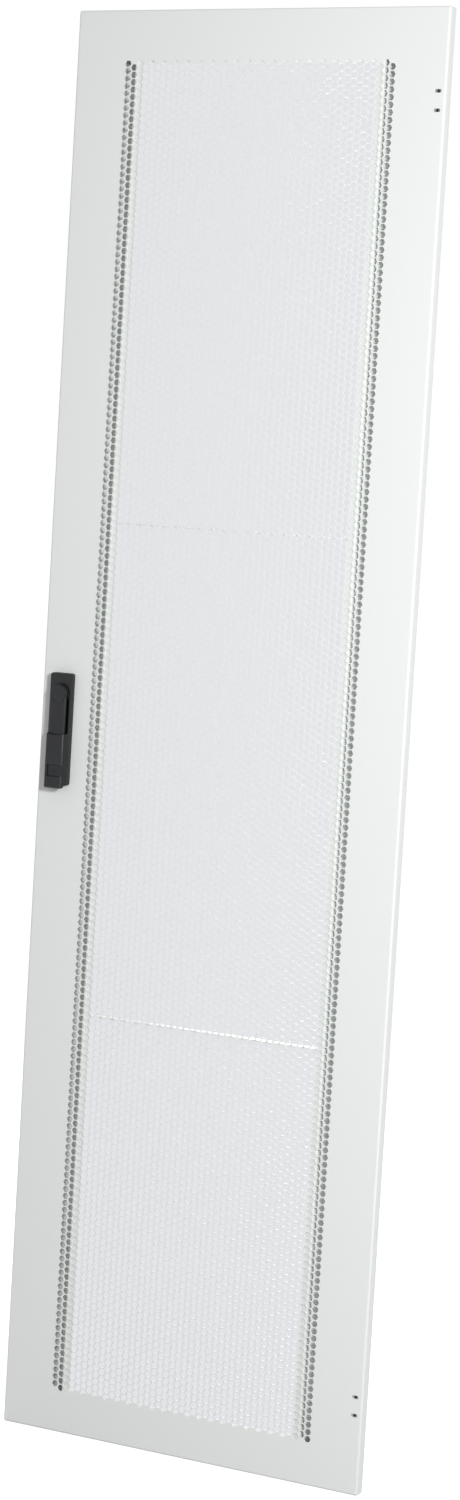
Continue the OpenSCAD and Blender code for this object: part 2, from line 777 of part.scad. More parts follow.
module clamp_plate() color(zinc) in_handle() plate(sheet_back, plate_back) difference() {
    translate([-plate_w / 2, -plate_bottom])
        rounded_rect(plate_w, plate_bottom + plate_top, foot_r);
    translate([0, pivot_up]) circle(shaft_d / 2 + drop_gap);
    translate([0, -lock_down]) circle(cylinder_d / 2 + run_gap);
    for (z = [-fixing_up, fixing_up])
        translate([0, z]) circle(fixing_d / 2 + run_gap);
}

module clamp_screws() color(steel) in_handle() for (z = [-fixing_up, fixing_up])
    translate([0, plate_back, z])
        cap_screw(fixing_d, fixing_head_d, fixing_head_t, fixing_deep + plate_t);

door_skin();
stile_left();
stile_right();
rail_top();
rail_bottom();
cross_bar_upper();
cross_bar_lower();
hinge_bracket_top();
hinge_bracket_bottom();
hinge_bush_top();
hinge_bush_bottom();
earth_stud();
earth_nut();
handle_housing();
handle_seal();
spindle();
lever();
lever_pin();
lock_shutter();
lock_cylinder();
lock_plug();
lock_finger();
clamp_plate();
clamp_screws();
cam();
cam_washer();
cam_screw();
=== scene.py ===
# %% [markdown]
# # A perforated rack door
#
# This lesson dresses a steel door for an equipment rack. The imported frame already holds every
# piece at its real size and place. Here each piece gets the surface that light meets: a sheet
# punched with thousands of small hexagons, folded edges, a moulded handle, and the finishes of
# paint, plating, plastic and turned steel. All lengths are metres; MM turns millimetres to metres.

# %% Load the frame
import math
import bmesh
import bpy
from mathutils import Matrix, Vector


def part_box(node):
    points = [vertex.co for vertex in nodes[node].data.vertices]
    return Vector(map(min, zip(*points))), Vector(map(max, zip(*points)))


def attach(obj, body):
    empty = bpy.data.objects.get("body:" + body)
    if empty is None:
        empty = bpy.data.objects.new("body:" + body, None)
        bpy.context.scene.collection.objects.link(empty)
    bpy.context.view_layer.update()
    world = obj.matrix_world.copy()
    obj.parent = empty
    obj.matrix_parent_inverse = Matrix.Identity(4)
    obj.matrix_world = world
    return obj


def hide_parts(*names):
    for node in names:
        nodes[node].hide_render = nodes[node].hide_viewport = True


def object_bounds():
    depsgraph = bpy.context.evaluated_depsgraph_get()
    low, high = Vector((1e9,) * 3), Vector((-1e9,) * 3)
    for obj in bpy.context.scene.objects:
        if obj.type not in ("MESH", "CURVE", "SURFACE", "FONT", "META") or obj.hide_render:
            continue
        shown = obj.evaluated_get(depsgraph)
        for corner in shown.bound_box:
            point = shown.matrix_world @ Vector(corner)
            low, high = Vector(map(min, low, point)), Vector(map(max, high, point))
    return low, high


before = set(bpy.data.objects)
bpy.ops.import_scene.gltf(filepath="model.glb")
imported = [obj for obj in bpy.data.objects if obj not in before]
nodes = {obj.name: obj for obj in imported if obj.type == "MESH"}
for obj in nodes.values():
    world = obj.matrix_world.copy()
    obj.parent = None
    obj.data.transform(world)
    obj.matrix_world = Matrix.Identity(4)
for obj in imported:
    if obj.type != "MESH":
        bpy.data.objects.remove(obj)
cad_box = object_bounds()
MM = 0.001
print("pieces in the frame:", len(nodes))

# %% [markdown]
# ## Measure before making
#
# Every place below comes from the boxes of the frame's own pieces, so a new piece needs no
# fitting by eye. The front of the door faces -Y, the hinges are on the +X side, and +Z is up.

# %% Places taken from the frame
door_lo, door_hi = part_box("door_skin")
door_w = door_hi.x - door_lo.x
door_h = door_hi.z - door_lo.z
door_d = door_hi.y - door_lo.y
front_y = door_lo.y
housing_lo, housing_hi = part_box("handle_housing")
handle_x = (housing_lo.x + housing_hi.x) / 2
handle_z = sum(p.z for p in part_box("clamp_screws")) / 2
hinge_z = [sum(p.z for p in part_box(name)) / 2 for name in ("hinge_bracket_bottom", "hinge_bracket_top")]
print("door %.0f x %.0f x %.0f mm" % (door_w / MM, door_h / MM, door_d / MM))

# %% [markdown]
# ## The camera and the studio
#
# The camera stands to the right of the door at about head height, nearly five metres away, with
# a long lens. A little roll lets the door lean in the frame. The studio is a pale floor in front
# of white, an even fill and one soft lamp to the right of the camera. That lamp shines across
# the stiffener behind the right edge of the field, so its hollow stays dark, and straight into
# the left one. A pale grey card stands close behind the door as a painted shadow: its grey stands
# in for the door's shadow on the backdrop. It is a little smaller than the door, so the camera
# sees it only through the holes, which keeps the webs brighter than them.

# %% Camera
camera_place = door_lo + Vector((2.5408, -4.2809, 1.4650))
camera_turn = (85.204, -3.376, 27.681)
camera_lens = 79.556
camera_sensor = 36
camera_reach = 200
camera = bpy.data.objects.new("camera", bpy.data.cameras.new("camera"))
bpy.context.scene.collection.objects.link(camera)
camera.location = camera_place
camera.rotation_euler = [math.radians(angle) for angle in camera_turn]
camera.data.lens = camera_lens
camera.data.sensor_width = camera_sensor
camera.data.clip_end = camera_reach
bpy.context.scene.camera = camera
bpy.context.scene.view_settings.view_transform = "Standard"
print("camera to the door's front: %.2f m" % (front_y - camera_place.y))

# %% Helpers for colours and nodes
def linear(hex_colour):
    """An sRGB hex colour as the linear RGBA that Blender's sockets hold."""
    parts = [int(hex_colour[i:i + 2], 16) / 255 for i in (1, 3, 5)]
    return [c / 12.92 if c <= 0.04045 else ((c + 0.055) / 1.055) ** 2.4 for c in parts] + [1]


MATH = "ShaderNodeMath"


def add(tree, kind, *values, links=(), **settings):
    """Adds a node.

    Values fill its sockets in order, and links name theirs. Each is a number or a source, and a
    node given as a source stands for its first output. Settings that name a socket set it, the
    others set the node itself.
    """
    made = tree.nodes.new(kind)
    for name, value in settings.items():
        if hasattr(made, name):
            setattr(made, name, value)
    for name, value in settings.items():
        if not hasattr(made, name):
            made.inputs[name.replace("_", " ")].default_value = value
    for socket, source in (*enumerate(values), *links):
        if isinstance(source, (int, float)):
            made.inputs[socket].default_value = source
        elif isinstance(source, bpy.types.Node):
            tree.links.new(source.outputs[0], made.inputs[socket])
        else:
            tree.links.new(source, made.inputs[socket])
    return made


# %% Floor
def paper(name, colour, glow, glow_colour, backdrop):
    """Matt paper. Seen by the camera, or in metal or glass, it also glows a little.

    A backdrop is there only for rays that come straight from the camera's side. All others pass
    it, so it takes no light from the door and hides nothing from behind.
    """
    material = bpy.data.materials.new(name)
    material.use_nodes = True
    tree = material.node_tree
    tree.nodes.clear()
    ray = add(tree, "ShaderNodeLightPath").outputs
    straight = add(tree, MATH, ray["Is Camera Ray"], ray["Is Transmission Ray"], operation="MAXIMUM")
    seen_ray = add(tree, MATH, straight, ray["Is Glossy Ray"], operation="MAXIMUM")
    glow_seen = add(tree, MATH, seen_ray, glow, operation="MULTIPLY")
    matt = add(tree, "ShaderNodeBsdfDiffuse", Color=linear(colour))
    light = add(tree, "ShaderNodeEmission", links=(("Strength", glow_seen),), Color=linear(glow_colour))
    surface = add(tree, "ShaderNodeAddShader", matt, light)
    if backdrop:
        clear = add(tree, "ShaderNodeBsdfTransparent")
        side = add(tree, "ShaderNodeNewGeometry")
        other_ray = add(tree, MATH, 1, straight, operation="SUBTRACT")
        passing = add(tree, MATH, side.outputs["Backfacing"], other_ray, operation="MAXIMUM")
        surface = add(tree, "ShaderNodeMixShader", passing, surface, clear)
    add(tree, "ShaderNodeOutputMaterial", links=(("Surface", surface),))
    return material


def flat_stage(name, corners, material):
    """One face of the studio, facing the way its corners turn."""
    mesh = bpy.data.meshes.new(name)
    mesh.from_pydata(corners, [], [range(4)])
    mesh.materials.append(material)
    made = bpy.data.objects.new(name, mesh)
    bpy.context.scene.collection.objects.link(made)
    return made


floor_gap = 0.2 * MM
floor_z = cad_box[0].z - floor_gap
floor_reach = 40
flat_stage("floor", [
    (-floor_reach, -floor_reach, floor_z), (floor_reach, -floor_reach, floor_z),
    (floor_reach, floor_reach, floor_z), (-floor_reach, floor_reach, floor_z),
], paper("floor_paper", "#BEBEBE", 0.77, "#FFFFFF", False))

# %% Card behind the holes, a painted shadow of the door
card_gap = 8 * MM
card_y = cad_box[1].y + card_gap
card_side = 45 * MM
card_end = 35 * MM


def behind(x, z):
    """Point on the card that the camera sees past a point of the door's front."""
    front = Vector((x, front_y, z))
    return camera_place.lerp(front, (card_y - camera_place.y) / (front_y - camera_place.y))


# Painted shadow: this grey card, seen only through the holes, stands in for the door's shadow on the
# backdrop.
flat_stage("card", [
    behind(door_lo.x + card_side, door_lo.z + card_end), behind(door_hi.x - card_side, door_lo.z + card_end),
    behind(door_hi.x - card_side, door_hi.z - card_end), behind(door_lo.x + card_side, door_hi.z - card_end),
], paper("painted_shadow_paper", "#202020", 0.8, "#F9FAFF", True))

# %% World light
fill_strength = 0.5
world = bpy.data.worlds.new("studio")
bpy.context.scene.world = world
world.use_nodes = True
sky = world.node_tree
sky.nodes.clear()
ray = add(sky, "ShaderNodeLightPath").outputs
seen = add(sky, MATH, ray["Is Camera Ray"], ray["Is Glossy Ray"], operation="MAXIMUM")
seen = add(sky, MATH, seen, ray["Is Transmission Ray"], operation="MAXIMUM")
fill = add(sky, "ShaderNodeBackground", Color=(1, 1, 1, 1), Strength=fill_strength)
white = add(sky, "ShaderNodeBackground", Color=(1, 1, 1, 1), Strength=1)
add(sky, "ShaderNodeOutputWorld", add(sky, "ShaderNodeMixShader", seen, fill, white))
print("fill light", fill_strength, "of white")

# %% Lamps
door_middle = (door_lo + door_hi) / 2


def lamp(name, bearing, away, up, size, power):
    """A round soft lamp, aimed at the door. Bearing 0 is straight in front, 90 the hinge side."""
    turn = math.radians(bearing)
    data = bpy.data.lights.new(name, "AREA")
    data.shape = "DISK"
    data.size = size
    data.energy = power
    made = bpy.data.objects.new(name, data)
    bpy.context.scene.collection.objects.link(made)
    made.location = (door_middle.x + away * math.sin(turn), front_y - away * math.cos(turn),
                     door_lo.z + up)
    made.rotation_euler = (made.location - door_middle).to_track_quat("Z", "Y").to_euler()
    print(name, "stands at", [round(v, 2) for v in made.location])


lamp("key", bearing=45, away=3.0, up=1.85, size=0.5, power=82)
lamp("back", bearing=198, away=3.0, up=1.6, size=1.0, power=60)

# %% [markdown]
# ## Materials
#
# Each material is made of nodes alone and is named for what the real part is made of; two names
# also say where the colour holds painted shade. The fine grain is a noise in object space that only
# tilts the light, so no picture file is needed.

# %% One function for all finishes
def finish(name, colour, roughness, metallic=0.0, grain=0.0, grain_size=1.0, uneven=0.0, ior=1.5):
    """A finish with a fine grain (share of full tilt, size in mm) and a slightly uneven sheen."""
    material = bpy.data.materials.new(name)
    material.use_nodes = True
    tree = material.node_tree
    tree.nodes.clear()
    surface = add(tree, "ShaderNodeBsdfPrincipled", Base_Color=linear(colour), Metallic=metallic,
                  Roughness=roughness, IOR=ior)
    place_on = add(tree, "ShaderNodeTexCoord").outputs["Object"]
    if grain:
        noise = add(tree, "ShaderNodeTexNoise", links=(("Vector", place_on),),
                    Scale=1 / (grain_size * MM), Detail=2.0)
        bump = add(tree, "ShaderNodeBump", links=(("Height", noise.outputs[0]),),
                   Strength=grain, Distance=0.1 * grain_size * MM)
        tree.links.new(bump.outputs[0], surface.inputs["Normal"])
    if uneven:
        cloud = add(tree, "ShaderNodeTexNoise", links=(("Vector", place_on),), Scale=9.0, Detail=3.0)
        spread = add(tree, "ShaderNodeMapRange", links=(("Value", cloud.outputs[0]),),
                     To_Min=roughness - uneven, To_Max=roughness + uneven)
        tree.links.new(spread.outputs[0], surface.inputs["Roughness"])
    add(tree, "ShaderNodeOutputMaterial", links=(("Surface", surface.outputs[0]),))
    return material


# Powder coat on steel: light grey, semi-matt, with the fine orange peel that baking leaves.
powder_coat = finish("powder_coated_steel", "#DDE0DE", 0.5, grain=0.25, grain_size=1.2, uneven=0.05)
# Glass-filled polyamide from an eroded mould: nearly black, with a fine even grain. Solid polyamide
# has an IOR of 1.53. The eroded skin gives back less light than that, so the value is lower.
polyamide = finish("black_polyamide", "#141518", 0.5, grain=0.35, grain_size=0.5, uneven=0.04, ior=1.44)
# Blue-passivated zinc on pressed steel. Its own grey is drawn darker than the plating is, as painted
# shade, so that the slots in the sheet in front of the hinge brackets look dark.
zinc = finish("zinc_plated_steel_darkened_as_shade", "#8F9396", 0.42, metallic=1.0, grain=0.1, grain_size=1.5, uneven=0.08)
# Turned and rolled steel of studs, pins and screws.
bright_steel = finish("turned_steel", "#B5B7BA", 0.28, metallic=1.0, uneven=0.05)
# Die-cast zinc, as it leaves the mould.
die_cast = finish("die_cast_zinc", "#A3A6A9", 0.48, metallic=1.0, grain=0.2, grain_size=0.8, uneven=0.06)
# Nylon of the hinge bushes, drawn dark and dull. The nylon itself is pale, and its dark grey is
# painted shade, so that the slots in the sheet in front of the bushes look dark.
nylon = finish("nylon_painted_dark_as_shade", "#26272A", 0.45, grain=0.1, grain_size=0.6)
# Foam rubber of the gasket under the handle.
rubber = finish("seal_rubber", "#141414", 0.85, grain=0.5, grain_size=0.4)
# Nickel-plated brass of the lock cylinder.
nickel_brass = finish("nickel_plated_brass", "#C9BFA2", 0.3, metallic=1.0, uneven=0.05)

slot_material = {
    "painted_steel": powder_coat, "zinc_steel": zinc, "bright_steel": bright_steel,
    "die_cast": die_cast, "nylon": nylon, "black_polyamide": polyamide,
    "seal_rubber": rubber, "nickel_brass": nickel_brass}
print("materials:", ", ".join(m.name for m in slot_material.values()))

# %% [markdown]
# ## The punched sheet
#
# The front of the door is one steel sheet with 44 columns and 186 rows of hexagonal holes. A
# geometry-nodes tree sets a hexagon on every lattice point, fills the sheet around them and
# gives it its thickness. The tree makes the sheet as two halves, which meet along a zigzag line
# in the middle of the webs, so each half stays small enough to handle.

# %% Sizes of the sheet and its holes
sheet_t = 1.5 * MM
columns = 44
rows = 186
column_pitch = 9.955 * MM
row_pitch = 10.69 * MM
hole_across = 9.2 * MM
field_x = door_lo.x + 301.3 * MM
field_z = door_lo.z + 1060.3 * MM
sheet_inset = 5 * MM
slot_len = 10.3 * MM
slot_w = 5.3 * MM
slot_rise = 13.5 * MM
hinge_x = sum(p.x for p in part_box("hinge_bush_bottom")) / 2
print("share of the field that is open: %.2f" % (
    math.sqrt(3) / 2 * hole_across ** 2 / (column_pitch * row_pitch)))


# %% The tree that punches the sheet
def new_tree(name, inputs):
    """An empty geometry tree with a geometry input, a geometry output and named inputs."""
    tree = bpy.data.node_groups.new(name, "GeometryNodeTree")
    tree.interface.new_socket("Geometry", in_out="INPUT", socket_type="NodeSocketGeometry")
    tree.interface.new_socket("Geometry", in_out="OUTPUT", socket_type="NodeSocketGeometry")
    for label, kind in inputs:
        tree.interface.new_socket(label, in_out="INPUT", socket_type="NodeSocket" + kind)
    return tree


def sheet_tree():
    """Outline loops in, a sheet with hexagonal holes out; it lies in X and Z, its front at -Y."""
    tree = new_tree("punched_sheet", [
        ("Columns", "Int"), ("Rows", "Int"), ("First Row", "Int"), ("Middle Row", "Float"),
        ("Column Pitch", "Float"), ("Row Pitch", "Float"), ("Hole Across", "Float"),
        ("Field X", "Float"), ("Field Z", "Float"), ("Front", "Float"), ("Thickness", "Float"),
        ("Material", "Material")])
    given = add(tree, "NodeGroupInput").outputs
    index = add(tree, "GeometryNodeInputIndex")
    column = add(tree, MATH, index, given["Columns"], operation="MODULO")
    past_index = add(tree, MATH, index, 0.5, operation="ADD")
    in_row = add(tree, MATH, past_index, given["Columns"], operation="DIVIDE")
    row = add(tree, MATH, in_row, operation="FLOOR")
    last_column = add(tree, MATH, given["Columns"], 1, operation="SUBTRACT")
    middle_column = add(tree, MATH, last_column, 2, operation="DIVIDE")
    column_place = add(tree, MATH, column, middle_column, operation="SUBTRACT")
    x = add(tree, MATH, column_place, given["Column Pitch"], given["Field X"], operation="MULTIPLY_ADD")
    odd = add(tree, MATH, column, 2, operation="MODULO")
    stagger = add(tree, MATH, odd, -0.5, 0.25, operation="MULTIPLY_ADD")
    door_row = add(tree, MATH, row, given["First Row"], operation="ADD")
    from_middle = add(tree, MATH, door_row, given["Middle Row"], operation="SUBTRACT")
    row_place = add(tree, MATH, from_middle, stagger, operation="ADD")
    z = add(tree, MATH, row_place, given["Row Pitch"], given["Field Z"], operation="MULTIPLY_ADD")
    spot = add(tree, "ShaderNodeCombineXYZ", x, z)
    count = add(tree, MATH, given["Columns"], given["Rows"], operation="MULTIPLY")
    lattice = add(tree, "GeometryNodePoints", links=(("Count", count), ("Position", spot)))
    radius = add(tree, MATH, given["Hole Across"], math.sqrt(3), operation="DIVIDE")
    hexagon = add(tree, "GeometryNodeCurvePrimitiveCircle", links=(("Radius", radius),), Resolution=6)
    holes = add(tree, "GeometryNodeInstanceOnPoints", links=(
        ("Points", lattice.outputs[0]), ("Instance", hexagon.outputs[0])))
    cut = add(tree, "GeometryNodeRealizeInstances", links=((0, holes.outputs[0]),))
    outline = add(tree, "GeometryNodeMeshToCurve", links=((0, given["Geometry"]),))
    loops = add(tree, "GeometryNodeJoinGeometry", links=((0, outline.outputs[0]), (0, cut.outputs[0])))
    flat = add(tree, "GeometryNodeFillCurve", links=((0, loops.outputs[0]),))
    depth = add(tree, MATH, given["Thickness"], -1, operation="MULTIPLY")
    down = add(tree, "ShaderNodeCombineXYZ", 0, 0, depth)
    back = add(tree, "GeometryNodeTransform", links=(
        ("Geometry", flat.outputs[0]), ("Translation", down.outputs[0])))
    back_side = add(tree, "GeometryNodeFlipFaces", links=((0, back.outputs[0]),))
    front_and_walls = add(tree, "GeometryNodeExtrudeMesh", links=(
        ("Mesh", back.outputs[0]), ("Offset Scale", given["Thickness"])), Individual=False)
    closed = add(tree, "GeometryNodeJoinGeometry", links=(
        (0, back_side.outputs[0]), (0, front_and_walls.outputs[0])))
    whole = add(tree, "GeometryNodeMergeByDistance", links=((0, closed.outputs[0]),), Distance=1e-5)
    forward = add(tree, "ShaderNodeCombineXYZ", links=((1, given["Front"]),))
    upright = add(tree, "GeometryNodeTransform", links=(
        ("Geometry", whole.outputs[0]), ("Translation", forward.outputs[0])),
        Rotation=(math.radians(90), 0, 0))
    plain = add(tree, "GeometryNodeRealizeInstances", links=((0, upright.outputs[0]),))
    painted = add(tree, "GeometryNodeSetMaterial", links=(
        ("Geometry", plain.outputs[0]), ("Material", given["Material"])))
    add(tree, "NodeGroupOutput", links=((0, painted.outputs[0]),))
    return tree


def outline_mesh(name, loops):
    """Closed loops of (x, z) points as a mesh of edges, lying flat in X and Y."""
    points = [(x, z, 0) for loop in loops for x, z in loop]
    edges = []
    start = 0
    for loop in loops:
        edges += [(start + i, start + (i + 1) % len(loop)) for i in range(len(loop))]
        start += len(loop)
    mesh = bpy.data.meshes.new(name)
    mesh.from_pydata(points, edges, [])
    return mesh


def by_nodes(name, mesh, tree, values):
    """An object whose mesh is what the tree makes of the given one, kept as a plain mesh."""
    made = bpy.data.objects.new(name, mesh)
    bpy.context.scene.collection.objects.link(made)
    modifier = made.modifiers.new("nodes", "NODES")
    modifier.node_group = tree
    sockets = {item.name: item.identifier for item in tree.interface.items_tree if item.in_out == "INPUT"}
    for label, value in values.items():
        modifier[sockets[label]] = value
    graph = bpy.context.evaluated_depsgraph_get()
    graph.update()
    done = bpy.data.meshes.new_from_object(made.evaluated_get(graph))
    made.modifiers.clear()
    made.data = done
    print(name, "faces:", len(done.polygons))
    return made


def ring(x, z, radius, flat=0, steps=48):
    """A circle, or with flat an obround whose straight sides run along X."""
    turns = [2 * math.pi * (i + 0.5) / steps for i in range(steps)]
    return [(x + radius * math.cos(a) + math.copysign(flat / 2, math.cos(a)), z + radius * math.sin(a))
            for a in turns]


# %% The two halves of the sheet
pivot_z = sum(p.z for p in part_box("spindle")) / 2
lock_z = sum(p.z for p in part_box("lock_plug")) / 2
boss_rise = 24 * MM
split = []
for i in range(columns):
    x = field_x + (i - (columns - 1) / 2) * column_pitch
    z = field_z + row_pitch / 4 * (1 if i % 2 == 0 else -1)
    split += [(x - column_pitch / 3, z), (x + column_pitch / 3, z)]
left_x = door_lo.x + sheet_inset
right_x = door_hi.x - sheet_inset
zigzag = [(left_x, split[0][1])] + split + [(right_x, split[-1][1])]
lower_outline = [(left_x, door_lo.z + sheet_inset), (right_x, door_lo.z + sheet_inset)] + zigzag[::-1]
upper_outline = zigzag + [(right_x, door_hi.z - sheet_inset), (left_x, door_hi.z - sheet_inset)]
lock_holes = [
    (pivot_z, ring(handle_x, pivot_z, 10 * MM)), (lock_z, ring(handle_x, lock_z, 8.5 * MM)),
    (handle_z - boss_rise, ring(handle_x, handle_z - boss_rise, 5 * MM)),
    (handle_z + boss_rise, ring(handle_x, handle_z + boss_rise, 5 * MM))]
lower_holes = [loop for z, loop in lock_holes if z < field_z]
upper_holes = [loop for z, loop in lock_holes if z > field_z]
slots = [
    [ring(hinge_x, z + rise, slot_w / 2, slot_len - slot_w) for rise in (-slot_rise, slot_rise)]
    for z in hinge_z]
punched = sheet_tree()
sheet_values = {
    "Columns": columns, "Rows": rows // 2, "Middle Row": (rows - 1) / 2,
    "Column Pitch": column_pitch, "Row Pitch": row_pitch, "Hole Across": hole_across,
    "Field X": field_x, "Field Z": field_z, "Front": front_y, "Thickness": sheet_t,
    "Material": powder_coat}
sheet_lower = by_nodes("sheet_lower", outline_mesh("sheet_lower", [lower_outline] + lower_holes + slots[0]),
                       punched, {**sheet_values, "First Row": 0})
sheet_upper = by_nodes("sheet_upper", outline_mesh("sheet_upper", [upper_outline] + upper_holes + slots[1]),
                       punched, {**sheet_values, "First Row": rows // 2})

# %% [markdown]
# ## The folded edges
#
# Round the sheet runs one folded rim: a bend, a wall of 20 mm, a second bend and a lip inwards.
# Its section is swept round the door once. In the bends the corners of the path are round, and
# where the section lies further in they are sharp, as on a press-folded door with welded corners.

# %% Section and sweep of the rim
bend_r = 3 * MM
lip_w = 12 * MM
slit_w = 1.2 * MM
window_h = 90 * MM
bend_steps = 8
corner_steps = 8


def arc(cx, cy, radius, first, last, steps):
    """Points on an arc, angles in degrees."""
    turns = [math.radians(first + (last - first) * i / steps) for i in range(steps + 1)]
    return [(cx + radius * math.cos(a), cy + radius * math.sin(a)) for a in turns]


def rim_section():
    """The rim's section: distance in from the door's edge, and depth behind the front."""
    inner_r = bend_r - sheet_t
    far = door_d - bend_r
    return (
        [(sheet_inset, 0)] + arc(bend_r, bend_r, bend_r, -90, -180, bend_steps)
        + arc(bend_r, far, bend_r, 180, 90, bend_steps) + [(lip_w, door_d), (lip_w, door_d - sheet_t)]
        + arc(bend_r, far, inner_r, 90, 180, bend_steps)
        + arc(bend_r, bend_r, inner_r, 180, 270, bend_steps) + [(sheet_inset, sheet_t)])


def rim_mesh():
    """The section swept round the door's outline, as one closed mesh."""
    section = rim_section()
    made = bmesh.new()
    rings = []
    corners = ((door_lo.x, door_lo.z, 1, 1, 180), (door_hi.x, door_lo.z, -1, 1, 270),
               (door_hi.x, door_hi.z, -1, -1, 0), (door_lo.x, door_hi.z, 1, -1, 90))
    for corner_x, corner_z, in_x, in_z, first in corners:
        for i in range(corner_steps + 1):
            turn = math.radians(first + 90 * i / corner_steps)
            stop = []
            for inset, depth in section:
                centre = max(inset, bend_r)
                radius = max(bend_r - inset, 0)
                stop.append(made.verts.new((
                    corner_x + in_x * centre + radius * math.cos(turn), front_y + depth,
                    corner_z + in_z * centre + radius * math.sin(turn))))
            rings.append(stop)
    for here, after in zip(rings, rings[1:] + rings[:1]):
        for i in range(len(section)):
            j = (i + 1) % len(section)
            made.faces.new((here[i], here[j], after[j], after[i]))
    bmesh.ops.remove_doubles(made, verts=made.verts, dist=1e-6)
    bmesh.ops.recalc_face_normals(made, faces=made.faces)
    mesh = bpy.data.meshes.new("rim")
    made.to_mesh(mesh)
    made.free()
    return mesh


def place(name, mesh):
    """A mesh as an object at the origin, its place held in its points."""
    made = bpy.data.objects.new(name, mesh)
    bpy.context.scene.collection.objects.link(made)
    return made


def block_mesh(name, boxes):
    """Closed boxes in one mesh. Each box is a middle, a size and a turn about Y in degrees."""
    made = bmesh.new()
    for middle, size, turn in boxes:
        bmesh.ops.create_cube(made, size=1, matrix=(
            Matrix.Translation(middle) @ Matrix.Rotation(math.radians(turn), 4, "Y")
            @ Matrix.Diagonal((*size, 1))))
    mesh = bpy.data.meshes.new(name)
    made.to_mesh(mesh)
    made.free()
    return mesh


def modified(target, kind, **settings):
    """Runs one modifier on an object and keeps the result as its plain mesh."""
    modifier = target.modifiers.new(kind.lower(), kind)
    for name, value in settings.items():
        setattr(modifier, name, value)
    graph = bpy.context.evaluated_depsgraph_get()
    graph.update()
    done = bpy.data.meshes.new_from_object(target.evaluated_get(graph))
    target.modifiers.clear()
    target.data = done


def cut_away(target, mesh):
    """Takes closed shapes out of an object by an exact boolean."""
    cutter = place("cutter", mesh)
    modified(target, "BOOLEAN", object=cutter, operation="DIFFERENCE", solver="EXACT")
    bpy.data.objects.remove(cutter)


rim = place("rim", rim_mesh())
lip_back = door_hi.y - bend_r / 2
window_w = lip_w - bend_r
cut_d = bend_r + 0.2 * MM
slit_boxes = [
    ((x, lip_back, z), (2 * window_w, cut_d, slit_w), 45 * side_x * side_z)
    for x, side_x in ((door_lo.x + lip_w, 1), (door_hi.x - lip_w, -1))
    for z, side_z in ((door_lo.z + lip_w, -1), (door_hi.z - lip_w, 1))]
window_boxes = [
    ((door_hi.x - bend_r - (window_w + MM) / 2, lip_back, z), (window_w + MM, cut_d, window_h), 0)
    for z in hinge_z]
cut_away(rim, block_mesh("lip_cuts", slit_boxes + window_boxes))
print("rim faces:", len(rim.data.polygons))

rim.data.shade_smooth()
rim.data.set_sharp_from_angle(angle=math.radians(30))
for piece in (sheet_lower, sheet_upper, rim):
    piece.data.materials.clear()
    piece.data.materials.append(powder_coat)
    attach(piece, "door")
    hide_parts("door_skin")

# %% [markdown]
# ## The pieces of the frame, with softened edges
#
# No made edge is a perfect line. Every piece except the sheet is copied from the frame, its
# triangles are joined into clean faces again, and its sharp edges get a narrow bevel that
# catches the light. The copy rides the same body as the piece that it stands for.

# %% Soft-edged copies
def clean_mesh(name):
    """The frame piece's mesh in world coordinates with its flat areas as single faces."""
    source = nodes[name]
    made = bmesh.new()
    made.from_mesh(source.data)
    made.transform(source.matrix_world)
    bmesh.ops.remove_doubles(made, verts=made.verts, dist=1e-6)
    bmesh.ops.dissolve_limit(made, angle_limit=math.radians(0.5), verts=made.verts, edges=made.edges)
    mesh = bpy.data.meshes.new(name + "_soft")
    made.to_mesh(mesh)
    made.free()
    return mesh


def smooth(mesh, crease=30):
    """Smooth shading, with creases where faces meet at more than the given angle."""
    mesh.shade_smooth()
    mesh.set_sharp_from_angle(angle=math.radians(crease))


def dress(made, body, slot_name, *replaced):
    """Gives a piece its body, material slot and material, and hides what it stands for."""
    made.data.materials.clear()
    made.data.materials.append(slot_material[slot_name])
    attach(made, body)
    if replaced:
        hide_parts(*replaced)


def softened(name, body, slot_name, width):
    """A copy of a frame piece with bevelled edges; width in millimetres."""
    made = place(name + "_soft", clean_mesh(name))
    modified(made, "BEVEL", width=width * MM, segments=2, limit_method="ANGLE",
             angle_limit=math.radians(35), harden_normals=False)
    smooth(made.data)
    dress(made, body, slot_name, name)
    return made


soft_pieces = [
    # body, slot, bevel in mm, pieces
    ("door", "painted_steel", 0.2, ("stile_left", "stile_right", "rail_top", "rail_bottom")),
    ("door", "painted_steel", 0.4, ("cross_bar_upper", "cross_bar_lower")),
    ("door", "zinc_steel", 0.4, ("hinge_bracket_top", "hinge_bracket_bottom", "clamp_plate")),
    ("door", "nylon", 0.4, ("hinge_bush_top", "hinge_bush_bottom")),
    ("door", "bright_steel", 0.3, ("earth_nut", "clamp_screws")),
    ("door", "black_polyamide", 0.5, ("handle_housing",)),
    ("door", "seal_rubber", 0.1, ("handle_seal",)),
    ("door", "nickel_brass", 0.2, ("lock_cylinder",)),
    ("spindle", "die_cast", 0.3, ("spindle",)),
    ("spindle", "bright_steel", 0.2, ("lever_pin", "cam_washer", "cam_screw")),
    ("spindle", "zinc_steel", 0.5, ("cam",)),
    ("handle_lever", "black_polyamide", 0.4, ("lever",)),
    ("shutter", "black_polyamide", 0.2, ("lock_shutter",)),
    ("key_plug", "nickel_brass", 0.15, ("lock_plug",)),
    ("key_plug", "zinc_steel", 0.4, ("lock_finger",))]
for body, slot_name, width, names in soft_pieces:
    for name in names:
        made = softened(name, body, slot_name, width)
        print("%-22s %6d faces" % (name, len(made.data.polygons)))

# %% [markdown]
# ## Small things
#
# The earth stud gets its rolled thread, and the stiffeners show the shallow marks of the spot
# welds that hold them to the sheet. The welds repeat, so a second geometry-nodes tree sets them
# along lines.

